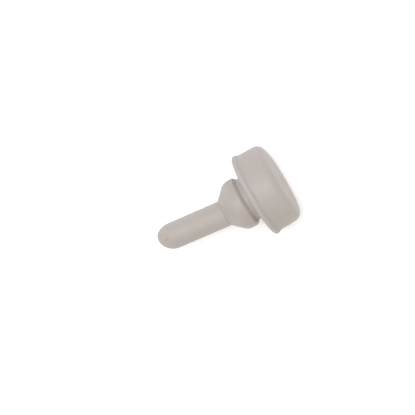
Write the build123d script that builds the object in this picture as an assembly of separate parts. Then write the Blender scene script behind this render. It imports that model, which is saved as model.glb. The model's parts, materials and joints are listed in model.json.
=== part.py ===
from build123d import *
from math import cos, radians, sin, sqrt
import os

# A hammer-in wall anchor, lying loose as it comes: a round-nosed plug sits a little crooked in the
# cup of a conical bush, a plastic drive pin runs through the bush into the plug, and a two-piece
# cover cap (base and press-on cap) hides the pin's head and soft washer.
#
# Millimetres. +X is the anchor's axis, out of the wall, and +Z is up. The origin is the centre of
# the cap base's bearing face, the ring that meets the wall or the fixture.

# ---- driving dimensions -------------------------------------------------------------------------
PLUG_D = 6.0            # the hole size that the plug is made for
PIN_D = 3.0
BUSH_D = 11.7
CAP_D = 18.8            # above the flare at the cap's mouth
LIP_D = 19.6            # the cap base's bead stands proud of the cap
CAP_FACE_X = 7.15       # outer face of the cap, above the bearing face
BUSH_SHOULDER_X = -1.5  # where the bell's slope meets its neck
BUSH_RIM_X = -7.3       # narrow end of the bush
PIVOT_X = -7.9          # centre of the plug's round mouth end
PLUG_REACH = 15.55      # from that centre to the tip of the nose
PLUG_LEAN = 7.0         # degrees between the plug and the rest, as it lies
WALL = 1.2              # moulded wall of the cap

# ---- clearances ---------------------------------------------------------------------------------
RUNNING = 0.1           # pin in bush, base and washer
SEAT_GAP = 0.12         # plug's mouth end in the bush's cup
TOUCH_GAP = 0.05        # faces of two bodies that would touch

# ---- moulded edges ------------------------------------------------------------------------------
SOFT_EDGE = 0.2
FINE_EDGE = 0.1
CUT_PAST = 1.0          # how far a cutter runs out of the body

PLUG_R, PIN_R, BUSH_R, CAP_R, LIP_R = (d / 2 for d in (PLUG_D, PIN_D, BUSH_D, CAP_D, LIP_D))
PIVOT = Pos(PIVOT_X, 0, 0)


def turned(*corners):
    """A solid turned about X from a closed outline of (x, radius, corner rounding)."""
    points = [(x, r) for x, r, _ in corners]
    roundings = [rounding for _, _, rounding in corners]
    return revolve(make_face(FilletPolyline(*points, radius=roundings, close=True)), Axis.X)


def tube(x0, x1, r_out, r_in):
    return turned((x0, r_in, 0), (x1, r_in, 0), (x1, r_out, 0), (x0, r_out, 0))


def rod(x0, x1, r):
    return turned((x0, 0, 0), (x1, 0, 0), (x1, r, 0), (x0, r, 0))


def spokes(count, x0, x1, reach, width, start=0.0):
    """Flat radial bars from the axis outwards, for ribs and for gaps."""
    bar = Pos((x0 + x1) / 2, 0, reach / 2) * Box(x1 - x0, width, reach)
    return [Rot(start + 360 / count * i, 0, 0) * bar for i in range(count)]


# ---- wall plug ----------------------------------------------------------------------------------
NOSE_LENGTH = 3.8
BORE_R = 1.9            # room for the pin to lean
BORE_DEPTH = 7.0        # full width of the bore, past the pivot
BORE_END = 12.2
BORE_END_R = 0.8
BORE_POINT = 0.6        # the bore's conical bottom
BORE_FLARE = 0.25
SLOT_WIDTH = 0.7
SLOT_START, SLOT_END = 3.2, 12.4


def wall_plug():
    """Built along -X from its own pivot, then leaned."""
    barrel_end = PLUG_REACH - NOSE_LENGTH
    outline = [
        CenterArc((0, 0), PLUG_R, 0, 90),
        Line((0, PLUG_R), (-barrel_end, PLUG_R)),
        EllipticalCenterArc((-barrel_end, 0), NOSE_LENGTH, PLUG_R, 90, arc_size=90),
        Line((-PLUG_REACH, 0), (PLUG_R, 0)),
    ]
    body = Rot(90, 0, 0) * revolve(make_face(outline), Axis.X)  # the seam is on top, clear of the slots
    mouth_x = sqrt(PLUG_R**2 - BORE_R**2)
    body -= turned(
        (PLUG_R + CUT_PAST, 0, 0),
        (PLUG_R + CUT_PAST, BORE_R + BORE_FLARE, 0),
        (mouth_x + BORE_FLARE, BORE_R + BORE_FLARE, 0),
        (mouth_x - BORE_FLARE, BORE_R, 0),
        (-BORE_DEPTH, BORE_R, 0),
        (-BORE_END, BORE_END_R, SOFT_EDGE),
        (-BORE_END - BORE_POINT, 0, 0),
    )
    # two expansion slots, one in each side wall
    slot = Plane.XZ * SlotOverall(SLOT_END - SLOT_START, SLOT_WIDTH)
    body -= Pos(-(SLOT_START + SLOT_END) / 2, 0, 0) * extrude(slot, amount=PLUG_D, both=True)
    return PIVOT * Rot(0, 0, -PLUG_LEAN) * body


# ---- conical bush -------------------------------------------------------------------------------
RIM_THICKNESS = 0.1
RIM_EDGE = 0.03
CONE_SLOPE = 0.95       # radius gained for each millimetre along the axis
CONE_ROUNDING = 2.4
SHOULDER_LENGTH = 0.75  # the slope down to the neck
SHOULDER_ROUNDING = 0.6
NECK_R = 5.05           # the neck carries the base's web
NECK_ROUNDING = 0.4
WEB_UNDERSIDE_X = 0.4
NECK_END_X = WEB_UNDERSIDE_X - TOUCH_GAP
POCKET_FLOOR_X = -3.7
POCKET_R_IN, POCKET_R_OUT = 2.7, 4.0
RIBS = 6
RIB_WIDTH = 0.8


def conical_bush():
    """A bell with a ball-shaped cup for the plug's mouth end, and a neck up to the base's web."""
    cup_r = PLUG_R + SEAT_GAP
    rim_r = sqrt(cup_r**2 - (BUSH_RIM_X - PIVOT_X) ** 2) + RIM_THICKNESS
    body = turned(
        (BUSH_RIM_X, 0, 0),
        (BUSH_RIM_X, rim_r, RIM_EDGE),
        (BUSH_RIM_X + (BUSH_R - rim_r) / CONE_SLOPE, BUSH_R, CONE_ROUNDING),
        (BUSH_SHOULDER_X - SHOULDER_LENGTH, BUSH_R, SHOULDER_ROUNDING),
        (BUSH_SHOULDER_X, NECK_R, NECK_ROUNDING),
        (NECK_END_X, NECK_R, FINE_EDGE),
        (NECK_END_X, 0, 0),
    )
    cup = [CenterArc((PIVOT_X, 0), cup_r, 0, 180), Line((PIVOT_X - cup_r, 0), (PIVOT_X + cup_r, 0))]
    body -= revolve(make_face(cup), Axis.X)
    body -= rod(BUSH_RIM_X - CUT_PAST, NECK_END_X + CUT_PAST, PIN_R + RUNNING)
    # the neck is cored out between ribs, so that the wall stays even
    pocket = turned(
        (POCKET_FLOOR_X, POCKET_R_IN, SOFT_EDGE),
        (NECK_END_X + CUT_PAST, POCKET_R_IN, 0),
        (NECK_END_X + CUT_PAST, POCKET_R_OUT, 0),
        (POCKET_FLOOR_X, POCKET_R_OUT, SOFT_EDGE),
    )
    for rib in spokes(RIBS, POCKET_FLOOR_X - CUT_PAST, NECK_END_X + 2 * CUT_PAST, BUSH_R, RIB_WIDTH):
        pocket -= rib
    return body - pocket


# ---- drive pin ----------------------------------------------------------------------------------
BASE_SEAT_X = 1.3       # where the washer rests on the cap base
WASHER_THICKNESS = 0.55
HEAD_X = BASE_SEAT_X + TOUCH_GAP + WASHER_THICKNESS
HEAD_HEIGHT = 2.5
HEAD_R = 3.7
HEAD_ROUNDING = 1.1
TAPER_START_X, TAPER_END_X = -8.4, -13.0
PIN_TIP_LENGTH = 0.5
PIN_TIP_R = 0.65
BARBS = 4
BARB_DEPTH = 0.14
BARB_RUN = 0.9          # share of the pitch that slopes in before the step out
DRIVE_SLOT_WIDTH, DRIVE_SLOT_DEPTH = 0.9, 1.1


def drive_pin():
    """Pan head with a screwdriver slot, plain shank, and a taper with barbs that grip the plug."""
    head_top = HEAD_X + HEAD_HEIGHT
    pitch = (TAPER_START_X - TAPER_END_X) / BARBS
    narrowing = (PIN_R - PIN_TIP_R) / BARBS
    taper = []
    for i in range(BARBS):
        x = TAPER_START_X - pitch * i
        r = PIN_R - narrowing * i
        taper += [(x, r, 0), (x - pitch * BARB_RUN, r - narrowing - BARB_DEPTH, 0)]
    body = turned(
        (head_top, 0, 0),
        (head_top, HEAD_R, HEAD_ROUNDING),
        (HEAD_X, HEAD_R, SOFT_EDGE),
        (HEAD_X, PIN_R, FINE_EDGE),
        *taper,
        (TAPER_END_X, PIN_TIP_R, FINE_EDGE),
        (TAPER_END_X - PIN_TIP_LENGTH, PIN_TIP_R / 2, FINE_EDGE),
        (TAPER_END_X - PIN_TIP_LENGTH, 0, 0),
    )
    slot = Box(DRIVE_SLOT_DEPTH, 2 * HEAD_R, DRIVE_SLOT_WIDTH)
    return body - Pos(head_top - DRIVE_SLOT_DEPTH / 2, 0, 0) * slot


# ---- soft washer --------------------------------------------------------------------------------
WASHER_R = 4.3


def seal_washer():
    x0 = HEAD_X - WASHER_THICKNESS
    hole_r = PIN_R + RUNNING
    return turned(
        (x0, hole_r, 0), (HEAD_X, hole_r, 0), (HEAD_X, WASHER_R, FINE_EDGE), (x0, WASHER_R, FINE_EDGE)
    )


# ---- cap base -----------------------------------------------------------------------------------
LIP_THICKNESS = BASE_SEAT_X
SWEEP_START = 60        # degrees round the bead, where it sweeps out into the cap's flare
SEAT_R = 9.56
BEARING_RING_R = 8.3    # inside of the ring that bears on the wall
RING_R = 8.0            # snap ring that stands up inside the cap
RING_WALL = 1.0
RING_TOP_X = 3.6
RING_LEAD = 0.15        # bevel that leads the cap on
RING_GAPS = 4
RING_GAP_WIDTH = 1.0
RING_GAP_START_X = 1.8
SNAP_BEAD = 0.12
BEAD_X0, BEAD_X1 = 2.7, 3.3


def cap_base():
    """Beaded lip and web, a bearing ring below and a split snap ring above."""
    edge_r = LIP_THICKNESS / 2
    lip_r = LIP_R - edge_r
    hole_r = PIN_R + RUNNING
    flange = turned(
        (0, BEARING_RING_R, 0),
        (0, lip_r, 0),
        (BASE_SEAT_X, lip_r, 0),
        (BASE_SEAT_X, hole_r, FINE_EDGE),
        (WEB_UNDERSIDE_X, hole_r, FINE_EDGE),
        (WEB_UNDERSIDE_X, BEARING_RING_R - SOFT_EDGE, SOFT_EDGE),
    )
    lip_edge = [CenterArc((edge_r, lip_r), edge_r, 0, 180), Line((0, lip_r), (LIP_THICKNESS, lip_r))]
    flange += revolve(make_face(lip_edge), Axis.X)
    sweep_x = edge_r * (1 + cos(radians(SWEEP_START)))
    sweep_r = lip_r + edge_r * sin(radians(SWEEP_START))
    flange += turned(
        (sweep_x, lip_r, 0), (LIP_THICKNESS, lip_r, 0), (LIP_THICKNESS, SEAT_R, 0), (sweep_x, sweep_r, 0)
    )
    ring_foot_x = BASE_SEAT_X - SOFT_EDGE
    ring = turned(
        (ring_foot_x, RING_R - RING_WALL, 0),
        (RING_TOP_X, RING_R - RING_WALL, SOFT_EDGE),
        (RING_TOP_X, RING_R - RING_LEAD, RING_LEAD),
        (BEAD_X1, RING_R, 0),
        ((BEAD_X0 + BEAD_X1) / 2, RING_R + SNAP_BEAD, SOFT_EDGE),
        (BEAD_X0, RING_R, 0),
        (ring_foot_x, RING_R, 0),
    )
    for gap in spokes(RING_GAPS, RING_GAP_START_X, RING_TOP_X + CUT_PAST, CAP_R, RING_GAP_WIDTH, start=45):
        ring -= gap
    return flange + ring


# ---- cover cap ----------------------------------------------------------------------------------
CAP_MOUTH_X = BASE_SEAT_X + TOUCH_GAP
FLARE_END_X = 2.15      # the cap's wall flares out to the lip below this
FLARE_ROUNDING = 2.0
CAP_DRAFT = 0.1         # how much narrower the cap is at its face
CAP_EDGE_ROUNDING = 2.0
INNER_ROUNDING = 0.8
BOSS_R = 3.0
BOSS_GAP = 0.15         # a blow on the cap reaches the pin's head through the boss
GROOVE_DEPTH = 0.2
GROOVE_FLANK = 0.15
GROOVE_MARGIN = 0.1
CAP_RIBS = 6
CAP_RIB_HEIGHT = 0.8
CAP_RIB_WIDTH = 0.7


def cover_cap():
    """A shell of even wall with a central boss, stiffening ribs and a snap groove."""
    inner_r = CAP_R - WALL
    ceiling_x = CAP_FACE_X - WALL
    boss_x = HEAD_X + HEAD_HEIGHT + BOSS_GAP
    groove_x0, groove_x1 = BEAD_X0 - GROOVE_MARGIN, BEAD_X1 + GROOVE_MARGIN
    shell = turned(
        (CAP_MOUTH_X, inner_r, FINE_EDGE),
        (CAP_MOUTH_X, SEAT_R, 0),
        (FLARE_END_X, CAP_R, FLARE_ROUNDING),
        (CAP_FACE_X, CAP_R - CAP_DRAFT, CAP_EDGE_ROUNDING),
        (CAP_FACE_X, 0, 0),
        (boss_x, 0, 0),
        (boss_x, BOSS_R, SOFT_EDGE),
        (ceiling_x, BOSS_R, SOFT_EDGE),
        (ceiling_x, inner_r, INNER_ROUNDING),
        (groove_x1 + GROOVE_FLANK, inner_r, 0),
        (groove_x1, inner_r + GROOVE_DEPTH, 0),
        (groove_x0, inner_r + GROOVE_DEPTH, 0),
        (groove_x0 - GROOVE_FLANK, inner_r, 0),
    )
    rib_x0, rib_x1 = ceiling_x - CAP_RIB_HEIGHT, ceiling_x + SOFT_EDGE
    rib_room = tube(rib_x0, rib_x1, inner_r - SOFT_EDGE, BOSS_R - SOFT_EDGE)
    for rib in spokes(CAP_RIBS, rib_x0, rib_x1, CAP_R, CAP_RIB_WIDTH, start=30):
        shell += rib & rib_room
    return shell


# ---- output -------------------------------------------------------------------------------------
NODES = {
    "wall_plug": wall_plug,
    "conical_bush": conical_bush,
    "drive_pin": drive_pin,
    "seal_washer": seal_washer,
    "cap_base": cap_base,
    "cover_cap": cover_cap,
}

os.makedirs("parts", exist_ok=True)
for name, build in NODES.items():
    shape = build()
    export_step(shape, f"parts/{name}.step")
    print(f"{name}: {len(shape.solids())} solid, {shape.volume:.1f} mm3")

lean = radians(PLUG_LEAN)
to_middle = (PLUG_REACH - NOSE_LENGTH) / 2
print(f"plug axis: {-cos(lean):.6f}, {sin(lean):.6f}, 0")
print(f"middle of its barrel: {PIVOT_X - to_middle * cos(lean):.4f}, {to_middle * sin(lean):.4f}, 0")
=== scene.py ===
import json
import math
import bmesh
import bpy
from mathutils import Matrix, Vector


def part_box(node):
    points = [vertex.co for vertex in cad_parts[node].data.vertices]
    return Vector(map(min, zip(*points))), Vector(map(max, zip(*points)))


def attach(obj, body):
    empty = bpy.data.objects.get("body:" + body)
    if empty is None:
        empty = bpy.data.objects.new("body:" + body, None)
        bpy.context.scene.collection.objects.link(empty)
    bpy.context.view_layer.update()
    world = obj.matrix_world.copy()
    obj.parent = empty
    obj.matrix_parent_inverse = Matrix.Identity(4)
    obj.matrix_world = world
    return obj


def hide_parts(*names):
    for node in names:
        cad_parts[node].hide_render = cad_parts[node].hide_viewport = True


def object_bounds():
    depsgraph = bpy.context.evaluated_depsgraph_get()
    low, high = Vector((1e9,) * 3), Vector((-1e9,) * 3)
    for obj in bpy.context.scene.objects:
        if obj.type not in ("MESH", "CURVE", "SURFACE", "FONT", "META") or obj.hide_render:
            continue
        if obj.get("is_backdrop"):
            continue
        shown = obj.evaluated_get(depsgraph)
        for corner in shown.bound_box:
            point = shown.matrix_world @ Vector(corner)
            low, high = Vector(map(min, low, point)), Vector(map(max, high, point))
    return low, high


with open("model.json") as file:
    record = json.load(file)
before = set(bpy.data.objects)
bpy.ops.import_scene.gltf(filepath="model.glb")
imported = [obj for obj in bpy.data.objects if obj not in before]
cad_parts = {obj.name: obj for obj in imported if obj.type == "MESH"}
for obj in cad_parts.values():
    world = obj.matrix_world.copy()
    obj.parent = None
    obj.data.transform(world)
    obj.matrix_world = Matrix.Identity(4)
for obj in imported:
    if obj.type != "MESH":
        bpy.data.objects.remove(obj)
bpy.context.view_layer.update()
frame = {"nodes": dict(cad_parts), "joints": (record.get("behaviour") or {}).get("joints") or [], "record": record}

# The wall anchor's looks. Every piece is turned about the anchor's axis, +X, or about the plug's own
# leaning axis, in millimetres, and is scaled to metres as its mesh is made. The places and the
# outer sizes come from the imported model.

MM = 0.001


# ---- sizes read from the frame ------------------------------------------------------------------
def span(node):
    """A turned node's two ends along X and its outer radius, in millimetres."""
    low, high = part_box(node)
    return low.x / MM, high.x / MM, high.z / MM


CAP_MOUTH, CAP_FACE, FLARE_R = span("cover_cap")
MOUTH_FLARE = 0.16
CAP_R = FLARE_R - MOUTH_FLARE
BASE_FOOT, RING_TOP, LIP_R = span("cap_base")
BUSH_RIM, NECK_END, BUSH_R = span("conical_bush")
PIN_TIP, HEAD_TOP, HEAD_R = span("drive_pin")
WASHER_FOOT, WASHER_TOP, WASHER_R = span("seal_washer")

mounts = {m["name"]: m for m in frame["record"]["mounts"]}
joints = {j["name"]: j for j in frame["joints"]}
PIVOT = Vector(joints["bush_lean"]["pos_m"]) / MM
PLUG_AXIS = Vector(mounts["shank"]["axis"]).normalized()
PLUG_R = mounts["shank"]["dims"]["r_mm"]
BARREL_END = mounts["shank"]["dims"]["length_mm"]
PLUG_TIP = max(
    (v.co / MM - PIVOT).dot(PLUG_AXIS) for v in frame["nodes"]["wall_plug"].data.vertices
)

# sizes inside the anchor, which the frame's boxes don't show
PIN_R = 1.5
HOLE_R = 1.6
WALL = 1.2
BASE_FLOOR = 0.4

# roundings of a plain edge, a fine one and one that looks sharp
EDGE = 0.2
FINE = 0.1
CRISP = 0.02


# ---- mesh making --------------------------------------------------------------------------------
ARC_STEP = math.radians(12)
RUN_STEP = 0.45
AROUND = 144
ON_AXIS = 1e-6


def outline(corners, closed=True):
    """Points of a closed outline of (x, radius, rounding), with its corners rounded and its runs divided."""
    count = len(corners)
    rounded = []
    for i, (x, r, rounding) in enumerate(corners):
        here = Vector((x, r))
        if rounding == 0:
            rounded.append([here])
            continue
        back = (Vector(corners[i - 1][:2]) - here).normalized()
        ahead = (Vector(corners[(i + 1) % count][:2]) - here).normalized()
        half = back.angle(ahead) / 2
        reach = rounding / math.tan(half)
        middle = here + (back + ahead).normalized() * rounding / math.sin(half)
        start, end = here + back * reach, here + ahead * reach
        turn = (start - middle).angle_signed(end - middle)
        steps = max(2, math.ceil(abs(turn) / ARC_STEP))
        turns = [Matrix.Rotation(-turn * k / steps, 2) for k in range(steps + 1)]
        rounded.append([middle + part @ (start - middle) for part in turns])
    points = []
    for i, bend in enumerate(rounded):
        points += bend
        before, after = bend[-1], rounded[(i + 1) % count][0]
        run = after - before
        if before.y == 0 and after.y == 0:
            continue
        pieces = math.ceil(run.length / RUN_STEP)
        points += [before + run * k / pieces for k in range(1, pieces)]
    return points


def arc(x, r, radius, start, end, steps=12):
    """Outline corners along an arc about (x, r). Angles are in degrees, from +X towards a larger radius."""
    angles = [math.radians(start + (end - start) * k / steps) for k in range(steps + 1)]
    return [(x + radius * math.cos(a), r + radius * math.sin(a), 0) for a in angles]


def turned(name, corners, around=AROUND):
    """A closed mesh turned about X from an outline. Points on the axis become poles."""
    mesh = bmesh.new()
    rings = []
    for x, r in outline(corners):
        if r < ON_AXIS:
            rings.append([mesh.verts.new((x, 0, 0))])
            continue
        angles = [2 * math.pi * k / around for k in range(around)]
        rings.append([mesh.verts.new((x, r * math.cos(a), r * math.sin(a))) for a in angles])
    bridge(mesh, rings + rings[:1])
    bmesh.ops.recalc_face_normals(mesh, faces=mesh.faces)
    return finished(name, mesh)


def bridge(mesh, rings):
    """Faces between each ring of points and the next. A ring of one point makes triangles."""
    for ring, after in zip(rings, rings[1:]):
        if len(ring) == 1 and len(after) == 1:
            continue
        for k in range(max(len(ring), len(after))):
            here = [ring[k % len(ring)], ring[(k + 1) % len(ring)]]
            there = [after[(k + 1) % len(after)], after[k % len(after)]]
            mesh.faces.new(list(dict.fromkeys(here + there)))


def finished(name, mesh):
    data = bpy.data.meshes.new(name)
    mesh.to_mesh(data)
    mesh.free()
    piece = bpy.data.objects.new(name, data)
    bpy.context.scene.collection.objects.link(piece)
    return piece


def block(name, low, high, rounding=0.0):
    """A box, for a cutter or a rib, with its edges rounded."""
    mesh = bmesh.new()
    bmesh.ops.create_cube(mesh, size=1)
    low, high = Vector(low), Vector(high)
    for v in mesh.verts:
        v.co = (low + high) / 2 + Vector(a * b for a, b in zip(v.co, high - low))
    if rounding:
        edges = mesh.edges[:]
        bmesh.ops.bevel(mesh, geom=edges, offset=rounding, segments=3, profile=0.5, affect="EDGES")
    return finished(name, mesh)


def combine(piece, other, how):
    """Joins or cuts by a boolean, applied at once; the other mesh is used up."""
    step = piece.modifiers.new("combine", "BOOLEAN")
    step.operation, step.object, step.solver = how, other, "EXACT"
    state = bpy.context.evaluated_depsgraph_get()
    shape = bpy.data.meshes.new_from_object(piece.evaluated_get(state))
    piece.modifiers.clear()
    piece.data = shape
    bpy.data.objects.remove(other)


def cut(piece, other):
    combine(piece, other, "DIFFERENCE")


def join(piece, other):
    combine(piece, other, "UNION")


def placed(piece, matrix):
    piece.data.transform(matrix)
    return piece


def around_x(degrees):
    return Matrix.Rotation(math.radians(degrees), 4, "X")


def dress(piece, body, material, nodes, smooth_to=35):
    """Scales a finished piece to metres, shades it, gives it its body and material, and hides the nodes it stands
    in for.
    """
    piece.data.transform(Matrix.Scale(MM, 4))
    piece.data.shade_smooth()
    piece.data.set_sharp_from_angle(angle=math.radians(smooth_to))
    piece.data.materials.clear()
    piece.data.materials.append(material)
    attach(piece, body)
    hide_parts(*nodes)


# ---- materials ----------------------------------------------------------------------------------
class Nodes:
    """A short way to build a node material."""

    def __init__(self, name):
        self.material = bpy.data.materials.new(name)
        self.material.use_nodes = True
        self.tree = self.material.node_tree
        self.shader = self.tree.nodes["Principled BSDF"]
        self.place = self.add("ShaderNodeTexCoord").outputs["Object"]

    def add(self, kind, **values):
        node = self.tree.nodes.new(kind)
        for key, value in values.items():
            setattr(node, key, value)
        return node

    def link(self, start, end):
        self.tree.links.new(start, end)

    def noise(self, feature, detail=3.0, roughness=0.5):
        """Noise with features of about that size in millimetres."""
        node = self.add("ShaderNodeTexNoise")
        node.inputs["Scale"].default_value = 1 / (feature * MM)
        node.inputs["Detail"].default_value = detail
        node.inputs["Roughness"].default_value = roughness
        self.link(self.place, node.inputs["Vector"])
        return node.outputs["Fac"]

    def axis(self, letter):
        """A place's distance along X, Y or Z from the anchor's origin, in metres."""
        node = self.add("ShaderNodeSeparateXYZ")
        self.link(self.place, node.inputs["Vector"])
        return node.outputs[letter]

    def between(self, value, low, high, out_low=0.0, out_high=1.0):
        node = self.add("ShaderNodeMapRange")
        limits = {"From Min": low, "From Max": high, "To Min": out_low, "To Max": out_high}
        for socket, number in limits.items():
            node.inputs[socket].default_value = number
        self.link(value, node.inputs["Value"])
        return node.outputs["Result"]

    def mix(self, factor, first, second, kind="MIX"):
        node = self.add("ShaderNodeMix", data_type="RGBA", blend_type=kind)
        for socket, value in zip((node.inputs[0], node.inputs[6], node.inputs[7]), (factor, first, second)):
            if isinstance(value, (tuple, float, int)):
                socket.default_value = value
            else:
                self.link(value, socket)
        return node.outputs[2]

    def bump(self, height, distance, strength=1.0, onto=None):
        node = self.add("ShaderNodeBump")
        node.inputs["Distance"].default_value = distance * MM
        node.inputs["Strength"].default_value = strength
        self.link(height, node.inputs["Height"])
        if onto:
            self.link(onto, node.inputs["Normal"])
        return node.outputs["Normal"]


def srgb(red, green, blue):
    """A colour as the eye sees it, 0 to 255, as linear light."""
    return tuple(((c / 255 + 0.055) / 1.055) ** 2.4 for c in (red, green, blue)) + (1.0,)


def milky_plastic(name, rosy_cloud_and_painted_lit, olive_cloud_and_painted_shade, scatter=0.45):
    """Unpigmented soft plastic: cloudy between two close tints, satin, with light going a little into it. The two
    tints are also painted light and shade: the rosy lit tint towards +Y, the key's side, and the olive shaded tint
    towards -Y.
    """
    painted_shade_y, painted_lit_y, painted_light_share = -4 * MM, 9 * MM, 0.65
    cloud, grain, speck, shine, flow, peel = 5.5, 0.9, 0.55, 1.6, 2.6, 0.32
    speck_shade = 0.72
    smoothest, roughest = 0.50, 0.64
    m = Nodes(name)
    # painted light and shade: the rosy lit tint grows towards +Y, on the key's side, and the olive shaded tint
    # towards -Y; this side gradient gives most of the mix and random clouds give the rest
    side = m.between(m.axis("Y"), painted_shade_y, painted_lit_y, 1.0, 0.0)
    clouds = m.between(m.noise(cloud, 3), 0.36, 0.64)
    body = m.mix(m.mix(painted_light_share, clouds, side), rosy_cloud_and_painted_lit, olive_cloud_and_painted_shade)
    grains = m.between(m.noise(grain, 5, 0.6), 0.3, 0.7, 0.0, 0.5)
    body = m.mix(grains, body, m.mix(0.5, rosy_cloud_and_painted_lit, olive_cloud_and_painted_shade))
    specks = m.between(m.noise(speck, 2), 0.765, 0.80)
    body = m.mix(specks, body, tuple(c * speck_shade for c in olive_cloud_and_painted_shade[:3]) + (1.0,))
    m.link(body, m.shader.inputs["Base Color"])
    satin = m.between(m.noise(shine, 4, 0.6), 0.3, 0.7, smoothest, roughest)
    m.link(satin, m.shader.inputs["Roughness"])
    waves = m.bump(m.noise(flow, 2), 0.05, 0.35)
    skin = m.bump(m.noise(peel, 3), 0.012, 0.5, onto=waves)
    m.link(skin, m.shader.inputs["Normal"])
    m.shader.inputs["IOR"].default_value = 1.51
    m.shader.inputs["Subsurface Weight"].default_value = scatter
    m.shader.inputs["Subsurface Radius"].default_value = (1.0, 0.9, 0.8)
    m.shader.inputs["Subsurface Scale"].default_value = 1.2 * MM
    return m.material


def soft_rubber(name, colour):
    """Matt rubber with a little dust in it."""
    m = Nodes(name)
    dusty = tuple(min(1.0, c * 1.35) for c in colour[:3]) + (1.0,)
    dust = m.between(m.noise(0.8, 5), 0.35, 0.7)
    m.link(m.mix(dust, colour, dusty), m.shader.inputs["Base Color"])
    m.link(m.between(m.noise(0.5, 4), 0.3, 0.7, 0.62, 0.8), m.shader.inputs["Roughness"])
    m.link(m.bump(m.noise(0.16, 3), 0.015, 0.6), m.shader.inputs["Normal"])
    return m.material


# each material's first tint is painted lit plastic and its second painted shaded plastic; both are also its random
# cloud colours
MILKY = milky_plastic("milky_plastic", srgb(178, 172, 172), srgb(174, 168, 157))
NATURAL = milky_plastic("natural_nylon", srgb(214, 209, 196), srgb(206, 201, 186), scatter=0.4)
RUBBER = soft_rubber("washer_rubber", srgb(150, 147, 144))


# ---- the sweep from lip to cap ------------------------------------------------------------------
# The lip's bead turns into a hollow curve, which the cap's flared mouth carries on to its wall.
SEAM_IN_CAD = 0.05
SEAT_X = WASHER_FOOT - SEAM_IN_CAD
SEAM = 0.01
BEAD_R = SEAT_X / 2
BEAD_END = 60
BEAD_END_R = LIP_R - BEAD_R + BEAD_R * math.sin(math.radians(BEAD_END))
HOLLOW = (BEAD_END_R - CAP_R) / (1 - math.sin(math.radians(BEAD_END)))
HOLLOW_X = BEAD_R + (BEAD_R + HOLLOW) * math.cos(math.radians(BEAD_END))


def sweep(x0, x1, steps=6):
    """Outline corners along the hollow curve."""
    places = [x0 + (x1 - x0) * k / steps for k in range(steps + 1)]
    return [(x, CAP_R + HOLLOW - math.sqrt(HOLLOW**2 - (HOLLOW_X - x) ** 2), 0) for x in places]


# ---- cover cap ----------------------------------------------------------------------------------
def cover_cap():
    """The shell with its stiffening ribs, hammering boss, snap groove and the mark of the mould's gate."""
    inner = CAP_R - WALL
    ceiling = CAP_FACE - WALL
    boss_r, boss_x = 3.0, HEAD_TOP + 0.15
    draft, outer_rounding, inner_rounding = 0.1, 2.0, 0.8
    groove_low, groove_high, groove, flank = 2.6, 3.4, 0.2, 0.15
    gate_r, gate_sink, stub_r, stub_top, slant = 1.0, 0.06, 0.3, 0.01, 0.06
    ribs, rib_half, rib_drop = 6, 0.35, 0.8
    marks, mark_reach = 3, 5.4
    cap = turned("cap_shell", [
        (CAP_MOUTH, inner, FINE),
        (CAP_MOUTH, CAP_R, 0),
        (SEAT_X + SEAM, CAP_R + 0.02, 0),
        *sweep(SEAT_X + SEAM, HOLLOW_X),
        (CAP_FACE, CAP_R - draft, outer_rounding),
        (CAP_FACE, gate_r, 0.05),
        (CAP_FACE - gate_sink, gate_r - slant, CRISP),
        (CAP_FACE - gate_sink, stub_r, CRISP),
        (CAP_FACE - stub_top, stub_r - slant, CRISP),
        (CAP_FACE - stub_top, 0, 0),
        (boss_x, 0, 0),
        (boss_x, boss_r, EDGE),
        (ceiling, boss_r, EDGE),
        (ceiling, inner, inner_rounding),
        (groove_high + flank, inner, 0),
        (groove_high, inner + groove, 0),
        (groove_low, inner + groove, 0),
        (groove_low - flank, inner, 0),
    ])
    for k in range(ribs):
        low = (ceiling - rib_drop, -rib_half, boss_r - EDGE)
        high = (ceiling + EDGE, rib_half, inner - EDGE)
        join(cap, placed(block("rib", low, high, 0.08), around_x(30 + 60 * k)))
    for k in range(marks):
        cut(cap, ejector_mark(ceiling, mark_reach, 120 * k))
    return cap


def ejector_mark(x, reach, degrees):
    """A shallow round cutter, for the mark that a mould's ejector pin leaves in a face that looks to -X."""
    start, floor_x, mark_r = x - 0.3, x + 0.05, 0.8
    corners = [(start, 0, 0), (start, mark_r + 0.04, 0), (floor_x, mark_r, CRISP), (floor_x, 0, 0)]
    mark = turned("mark", corners, around=48)
    return placed(mark, around_x(degrees) @ Matrix.Translation((0, 0, reach)))


# ---- cap base -----------------------------------------------------------------------------------
def cap_base():
    """The lip on its bearing ring, with the split snap ring that stands up inside the cap."""
    bearing_in, bearing_out = 8.1, 8.3
    ring_r, ring_wall, ring_bevel = 8.0, 1.0, 0.15
    bead, bead_low, bead_x, bead_high = 0.12, 2.7, 3.0, 3.3
    gaps, gap_low, gap_half, gap_in, gap_out = 4, 1.8, 0.5, 6.0, 9.0
    marks, mark_reach = 4, 6.6
    base = turned("base_lip_and_ring", [
        (BASE_FOOT, bearing_out, FINE),
        *arc(BEAD_R, LIP_R - BEAD_R, BEAD_R, 180, BEAD_END, 20),
        *sweep(BEAD_R * (1 + math.cos(math.radians(BEAD_END))), SEAT_X)[1:],
        (SEAT_X, ring_r, 0.05),
        (bead_low, ring_r, 0),
        (bead_x, ring_r + bead, EDGE),
        (bead_high, ring_r, 0),
        (RING_TOP, ring_r - ring_bevel, ring_bevel),
        (RING_TOP, ring_r - ring_wall, EDGE),
        (SEAT_X, ring_r - ring_wall, EDGE),
        (SEAT_X, HOLE_R, FINE),
        (BASE_FLOOR, HOLE_R, FINE),
        (BASE_FLOOR, bearing_in, EDGE),
    ])
    for k in range(gaps):
        gap = block("gap", (gap_low, -gap_half, gap_in), (RING_TOP + 1, gap_half, gap_out), FINE)
        cut(base, placed(gap, around_x(45 + 90 * k)))
    for k in range(marks):
        cut(base, ejector_mark(BASE_FLOOR, mark_reach, 90 * k))
    return base


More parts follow.
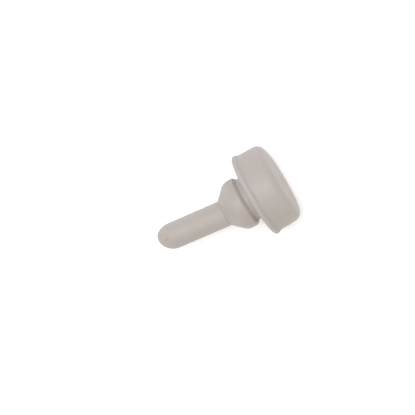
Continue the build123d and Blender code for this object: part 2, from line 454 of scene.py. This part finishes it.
# ---- conical bush -------------------------------------------------------------------------------
def conical_bush():
    """The bell with its ball-shaped cup for the plug and its neck, cored out between six ribs."""
    cup_clearance, rim_wall, cup_steps = 0.12, 0.1, 16
    cup_r = PLUG_R + cup_clearance
    pivot = PIVOT.x
    rim_in = math.sqrt(cup_r**2 - (BUSH_RIM - pivot) ** 2)
    rim_out = rim_in + rim_wall
    bottom = pivot + math.sqrt(cup_r**2 - HOLE_R**2)
    start = math.atan2(HOLE_R, bottom - pivot)
    end = math.atan2(rim_in, BUSH_RIM - pivot)
    cup = []
    for k in range(1, cup_steps):
        a = start + (end - start) * k / cup_steps
        cup.append((pivot + cup_r * math.cos(a), cup_r * math.sin(a), 0))
    bell_steepness, bell_rounding = 0.95, 2.4
    shoulder, slope, shoulder_rounding = -1.5, 0.75, 0.6
    neck_r, neck_rounding = 5.05, 0.4
    pocket_in, pocket_out, pocket_floor = 2.7, 4.0, -3.7
    ribs, rib_half, bite = 6, 0.4, 0.1
    bush = turned("bush_bell", [
        (BUSH_RIM, rim_in, CRISP),
        (BUSH_RIM, rim_out, 0.03),
        (BUSH_RIM + (BUSH_R - rim_out) / bell_steepness, BUSH_R, bell_rounding),
        (shoulder - slope, BUSH_R, shoulder_rounding),
        (shoulder, neck_r, neck_rounding),
        (NECK_END, neck_r, FINE),
        (NECK_END, pocket_out, FINE),
        (pocket_floor, pocket_out, EDGE),
        (pocket_floor, pocket_in, EDGE),
        (NECK_END, pocket_in, FINE),
        (NECK_END, HOLE_R, FINE),
        (bottom, HOLE_R, FINE),
        *cup,
    ])
    for k in range(ribs):
        low = (pocket_floor - bite, -rib_half, pocket_in - bite)
        high = (NECK_END - 0.05, rib_half, pocket_out + bite)
        join(bush, placed(block("rib", low, high, 0.05), around_x(60 * k)))
    return bush


# ---- wall plug ----------------------------------------------------------------------------------
def expansion_slot(x0, x1, width):
    """A cutter with round ends through the wall at +Y, opening a little at the surface for a soft edge."""
    mesh = bmesh.new()
    rings = []
    inside, outside = 0.4, PLUG_R + 0.2
    half_turn_steps = 12
    for y, grow in ((inside, 0.0), (PLUG_R - 0.12, 0.0), (PLUG_R - 0.04, 0.03), (outside, 0.25)):
        r = width / 2 + grow
        ring = []
        for centre, start in ((x1 - width / 2, -90), (x0 + width / 2, 90)):
            for k in range(half_turn_steps + 1):
                a = math.radians(start + 180 / half_turn_steps * k)
                ring.append(mesh.verts.new((centre + r * math.cos(a), y, r * math.sin(a))))
        rings.append(ring)
    bridge(mesh, rings)
    mesh.faces.new(rings[0])
    mesh.faces.new(rings[-1])
    bmesh.ops.recalc_face_normals(mesh, faces=mesh.faces)
    return finished("slot", mesh)


def nose_pit(nose):
    """A ball cutter for the small round pit that the photo shows on the nose."""
    x, y, r, depth = -13.2, -0.2, 0.28, 0.24
    surface = PLUG_R * math.sqrt(1 - ((-x - BARREL_END) / nose) ** 2)
    pit = turned("pit", [(-r, 0, 0), *arc(0, 0, r, 165, 15, 10), (r, 0, 0)], around=24)
    return placed(pit, Matrix.Translation((x, y, surface + r - depth)))


def wall_plug():
    """Turned about X with its nose towards -X, then leaned onto the plug's axis."""
    nose = PLUG_TIP - BARREL_END
    bore_r, flare, flare_length = 1.9, 0.25, 0.4
    tip_bore_r, bore_end, cone_end, taper_end = 0.8, -12.8, -12.2, -7.0
    slot_end, slot_start, slot_width = -12.4, -3.2, 0.7
    end_steps, nose_steps = 14, 18
    mouth = math.sqrt(PLUG_R**2 - (bore_r + flare) ** 2)
    start = math.atan2(bore_r + flare, mouth)
    round_end = []
    for k in range(end_steps):
        a = start + (math.pi / 2 - start) * k / end_steps
        round_end.append((PLUG_R * math.cos(a), PLUG_R * math.sin(a), 0))
    round_nose = []
    for k in range(nose_steps):
        a = math.pi / 2 * k / nose_steps
        round_nose.append((-BARREL_END - nose * math.sin(a), PLUG_R * math.cos(a), 0))
    plug = turned("plug_body", [
        *round_end,
        *round_nose,
        (-PLUG_TIP, 0, 0),
        (bore_end, 0, 0),
        (cone_end, tip_bore_r, EDGE),
        (taper_end, bore_r, EDGE),
        (mouth - flare_length, bore_r, 0),
    ])
    for side in (0, 180):
        cut(plug, placed(expansion_slot(slot_end, slot_start, slot_width), around_x(side)))
    cut(plug, nose_pit(nose))
    # the tip of the nose stands a little to one side
    sway = 0.4
    for v in plug.data.vertices:
        past = max(0.0, -v.co.x - BARREL_END) / nose
        v.co.y += sway * past**2
    lean = Vector((-1, 0, 0)).rotation_difference(PLUG_AXIS).to_matrix().to_4x4()
    return placed(plug, Matrix.Translation(PIVOT) @ lean)


# ---- drive pin and washer -----------------------------------------------------------------------
def drive_pin():
    """A round head with a screwdriver slot, a plain shank and a barbed taper."""
    head_rounding = 1.1
    slot_depth, slot_half = 1.1, 0.45
    taper_start, taper_end, tip_r, barbs = -8.4, PIN_TIP + 0.5, 0.65, 4
    barb_share, barb_step, barb_edge = 0.9, 0.14, 0.03
    pitch, narrowing = (taper_start - taper_end) / barbs, (PIN_R - tip_r) / barbs
    taper = []
    for i in range(barbs):
        x, r = taper_start - pitch * i, PIN_R - narrowing * i
        taper.append((x, r, barb_edge))
        taper.append((x - pitch * barb_share, r - narrowing - barb_step, barb_edge))
    pin = turned("pin_and_head", [
        (HEAD_TOP, 0, 0),
        (HEAD_TOP, HEAD_R, head_rounding),
        (WASHER_TOP, HEAD_R, EDGE),
        (WASHER_TOP, PIN_R, FINE),
        *taper,
        (taper_end, tip_r, FINE),
        (PIN_TIP, tip_r / 2, FINE),
        (PIN_TIP, 0, 0),
    ], around=96)
    low = (HEAD_TOP - slot_depth, -HEAD_R - 1, -slot_half)
    high = (HEAD_TOP + 1, HEAD_R + 1, slot_half)
    cut(pin, block("slot", low, high, 0.08))
    return pin


def washer():
    """A soft flat ring with a rounder outer edge."""
    inner_edge, outer_edge = 0.05, 0.22
    return turned("washer_ring", [
        (WASHER_FOOT, HOLE_R, inner_edge),
        (WASHER_TOP, HOLE_R, inner_edge),
        (WASHER_TOP, WASHER_R, outer_edge),
        (WASHER_FOOT, WASHER_R, outer_edge),
    ], around=96)


dress(cover_cap(), "cap", MILKY, ["cover_cap"])
dress(cap_base(), "base", MILKY, ["cap_base"])
dress(conical_bush(), "bush", MILKY, ["conical_bush"])
dress(wall_plug(), "plug", MILKY, ["wall_plug"])
dress(drive_pin(), "pin", NATURAL, ["drive_pin"])
dress(washer(), "pin", RUBBER, ["seal_washer"])


# ---- camera -------------------------------------------------------------------------------------
TILT, SIDE, ROLL = math.radians(8.8), math.radians(0.8), math.radians(30.5)
LENS, SENSOR = 150.0, 36.0
# what the picture takes in, and how far its middle is from the anchor's, in lengths of the anchor
VIEW_WIDTH, AIM_LEFT, AIM_UP = 3.0, 0.106, 0.051


def camera():
    """Looks almost straight down, a little from the cap's face side, with the plug down to the left."""
    low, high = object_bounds()
    middle, length = (low + high) / 2, high.x - low.x
    back = Vector((math.sin(TILT) * math.cos(SIDE), math.sin(SIDE), math.cos(TILT) * math.cos(SIDE)))
    along = (Vector((1, 0, 0)) - back * back.x).normalized()
    across = back.cross(along)
    right = along * math.cos(ROLL) - across * math.sin(ROLL)
    up = along * math.sin(ROLL) + across * math.cos(ROLL)
    width = VIEW_WIDTH * length
    aim = middle - right * AIM_LEFT * length + up * AIM_UP * length
    data = bpy.data.cameras.new("camera")
    data.lens, data.sensor_width = LENS, SENSOR
    data.clip_start, data.clip_end = 0.01, 10
    eye = bpy.data.objects.new("camera", data)
    place = Matrix.Translation(aim + back * width * LENS / SENSOR)
    eye.matrix_world = place @ Matrix((right, up, back)).transposed().to_4x4()
    bpy.context.scene.collection.objects.link(eye)
    bpy.context.scene.camera = eye
    return right, up, back


# ---- floor and light ----------------------------------------------------------------------------
def floor():
    """A pale floor at the anchor's lowest point, glowing faintly so that it stays white."""
    low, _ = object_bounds()
    half_width, glow = 1.5, 0.22
    mesh = bmesh.new()
    bmesh.ops.create_grid(mesh, x_segments=1, y_segments=1, size=half_width)
    for v in mesh.verts:
        v.co.z = low.z
    piece = finished("floor", mesh)
    m = Nodes("pale_floor")
    patches = m.between(m.noise(40, 3), 0.3, 0.7)
    m.link(m.mix(patches, (0.93, 0.93, 0.93, 1), (0.95, 0.95, 0.95, 1)), m.shader.inputs["Base Color"])
    m.shader.inputs["Roughness"].default_value = 0.9
    m.shader.inputs["Specular IOR Level"].default_value = 0.1
    m.shader.inputs["Emission Color"].default_value = (1, 1, 1, 1)
    m.shader.inputs["Emission Strength"].default_value = glow
    piece.data.materials.append(m.material)
    piece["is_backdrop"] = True


def area_light(name, place, aim, size, watts, colour):
    data = bpy.data.lights.new(name, "AREA")
    data.shape, data.size, data.energy, data.color = "DISK", size, watts, colour
    lamp = bpy.data.objects.new(name, data)
    turn = (place - aim).to_track_quat("Z", "Y").to_matrix().to_4x4()
    lamp.matrix_world = Matrix.Translation(place) @ turn
    bpy.context.scene.collection.objects.link(lamp)


def light(right, up, back):
    """A large soft key beside the camera, a little to the plug's side, and an even surround."""
    key_distance, key_size, key_watts = 0.6, 0.36, 2.6
    surround = 0.565
    low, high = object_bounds()
    middle = (low + high) / 2
    key = middle + (up * 0.04 - right * 0.2 + back * 1.0).normalized() * key_distance
    area_light("key", key, middle, key_size, key_watts, (1.0, 0.96, 0.99))
    world = bpy.data.worlds.new("studio")
    world.use_nodes = True
    background = world.node_tree.nodes["Background"]
    background.inputs["Color"].default_value = (1.0, 0.985, 0.965, 1)
    background.inputs["Strength"].default_value = surround
    bpy.context.scene.world = world
    bpy.context.scene.view_settings.view_transform = "Standard"


right, up, back = camera()
floor()
light(right, up, back)
